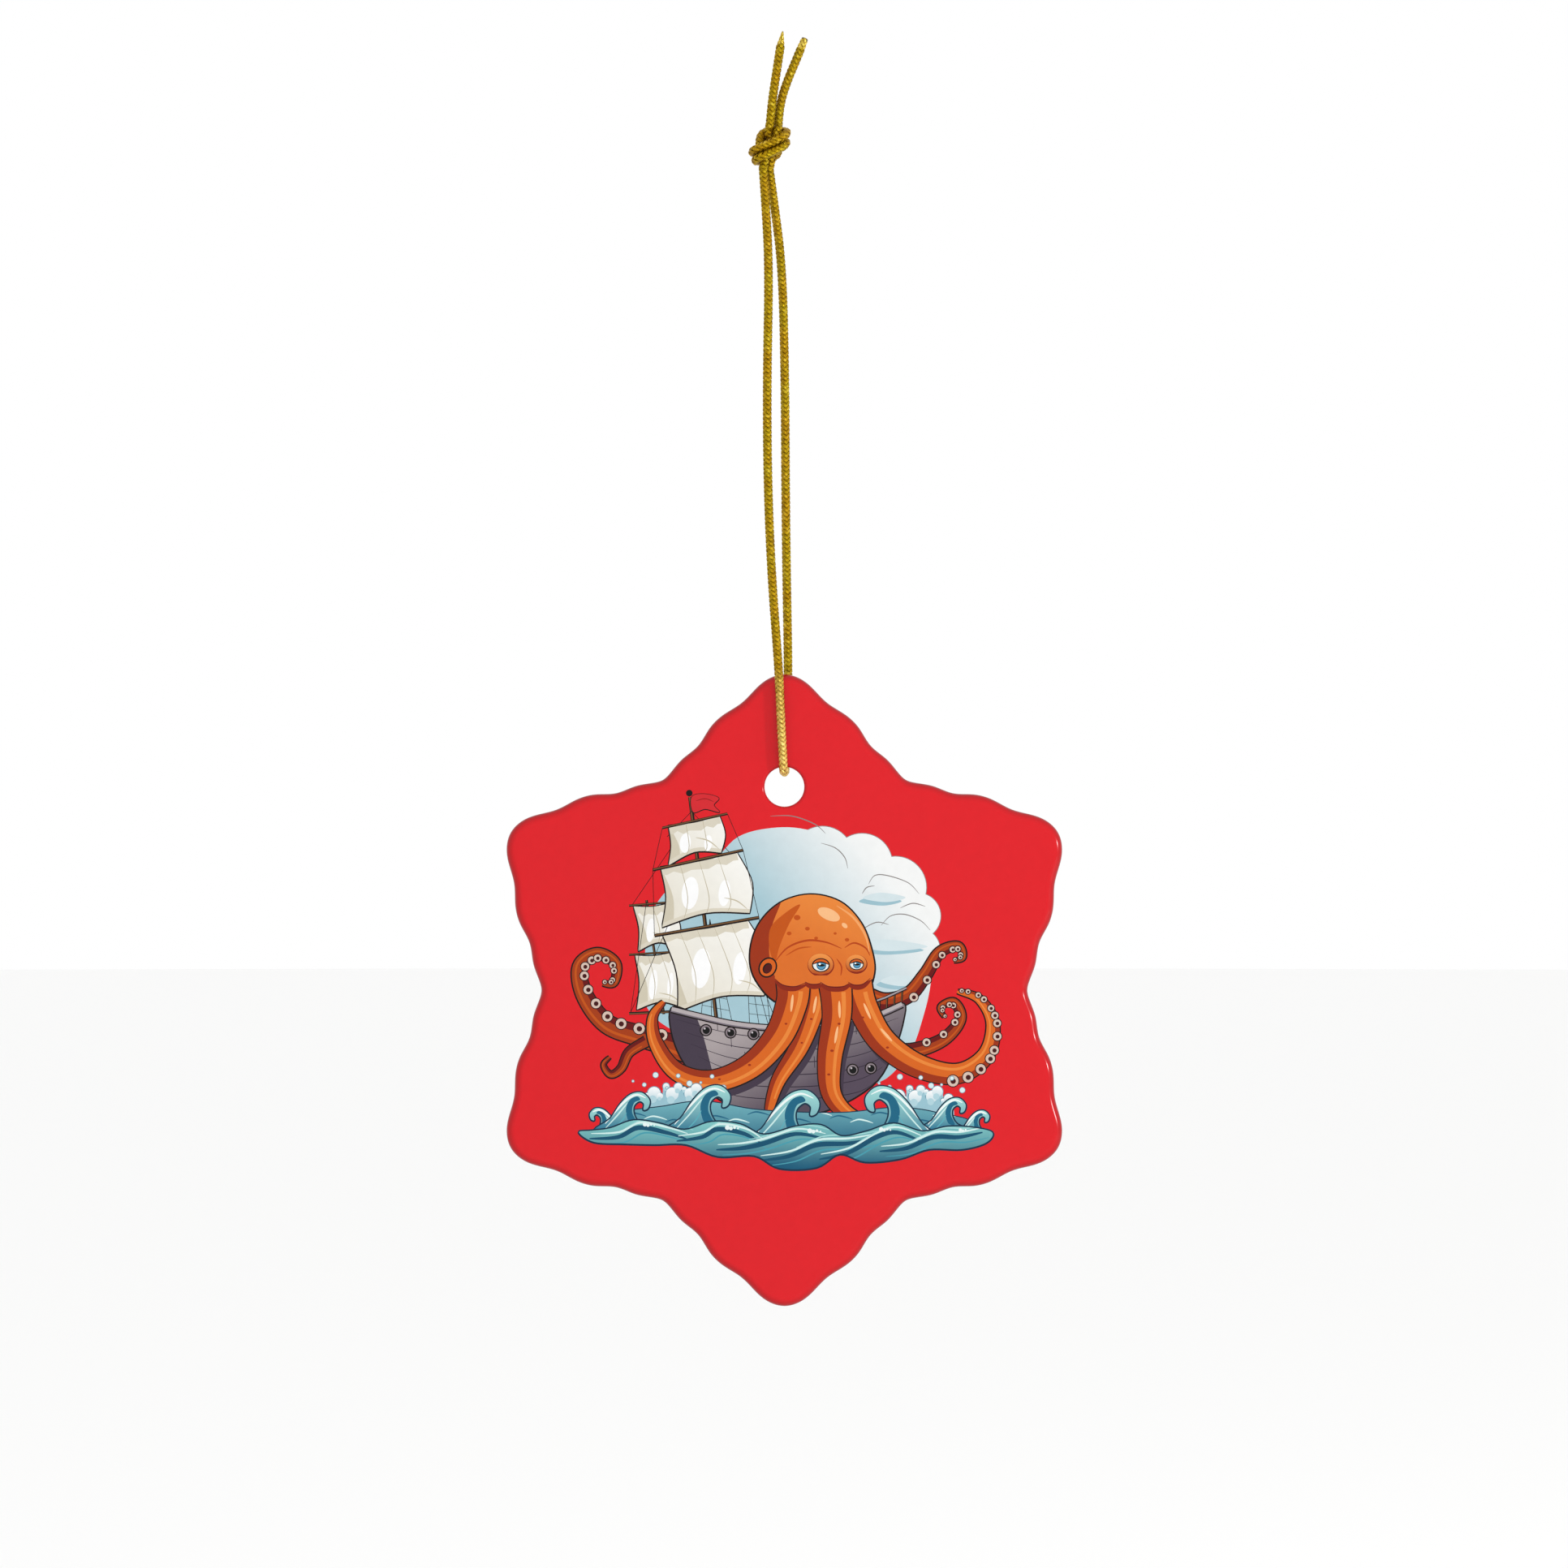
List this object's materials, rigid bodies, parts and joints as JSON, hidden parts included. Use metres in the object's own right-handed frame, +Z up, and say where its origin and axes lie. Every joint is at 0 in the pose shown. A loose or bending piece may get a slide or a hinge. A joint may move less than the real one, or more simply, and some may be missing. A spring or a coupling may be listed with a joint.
{
  "type": "hanging ceramic ornament",
  "caption": "Flat six-armed scalloped ceramic ornament with a printed octopus and sailing ship, hung on a knotted loop of braided gold cord.",
  "frame": {"origin": "top of the hanging loop, midway between its two strands, level with the underside of the knot", "axes": "+Z up along the hanging loop, -Y out of the printed face, +X to the right of someone facing that face"},
  "size_m": [0.0702, 0.0054, 0.161],
  "materials": {
    "white_ceramic": "white glaze, glossy",
    "printed_face": "glossy printed coat, red ground with a picture",
    "gold_cord": "fine metallised braid, satin with bright glints"
  },
  "bodies": {
    "hanger": {"cord_knot": "gold_cord", "cord_tail_left": "gold_cord", "cord_tail_right": "gold_cord"},
    "loop": {"cord_front_strand": "gold_cord", "cord_hole_bend": "gold_cord", "cord_back_strand": "gold_cord"},
    "plaque": {"ceramic_plaque": "white_ceramic", "print_coat": "printed_face"}
  },
  "joints": [
    {"name": "cord_twist", "type": "hinge", "parent": "hanger", "child": "loop", "pos_m": [0, 0, 0], "axis": [-0.0225, 0, 0.9997], "range_deg": [-180, 180], "stiffness_Nm_per_rad": 0.0000046},
    {"name": "plaque_turn", "type": "hinge", "parent": "loop", "child": "plaque", "pos_m": [0.00234, 0, -0.0785], "axis": [0, 1, 0], "range_deg": [-90, 90]}
  ]
}
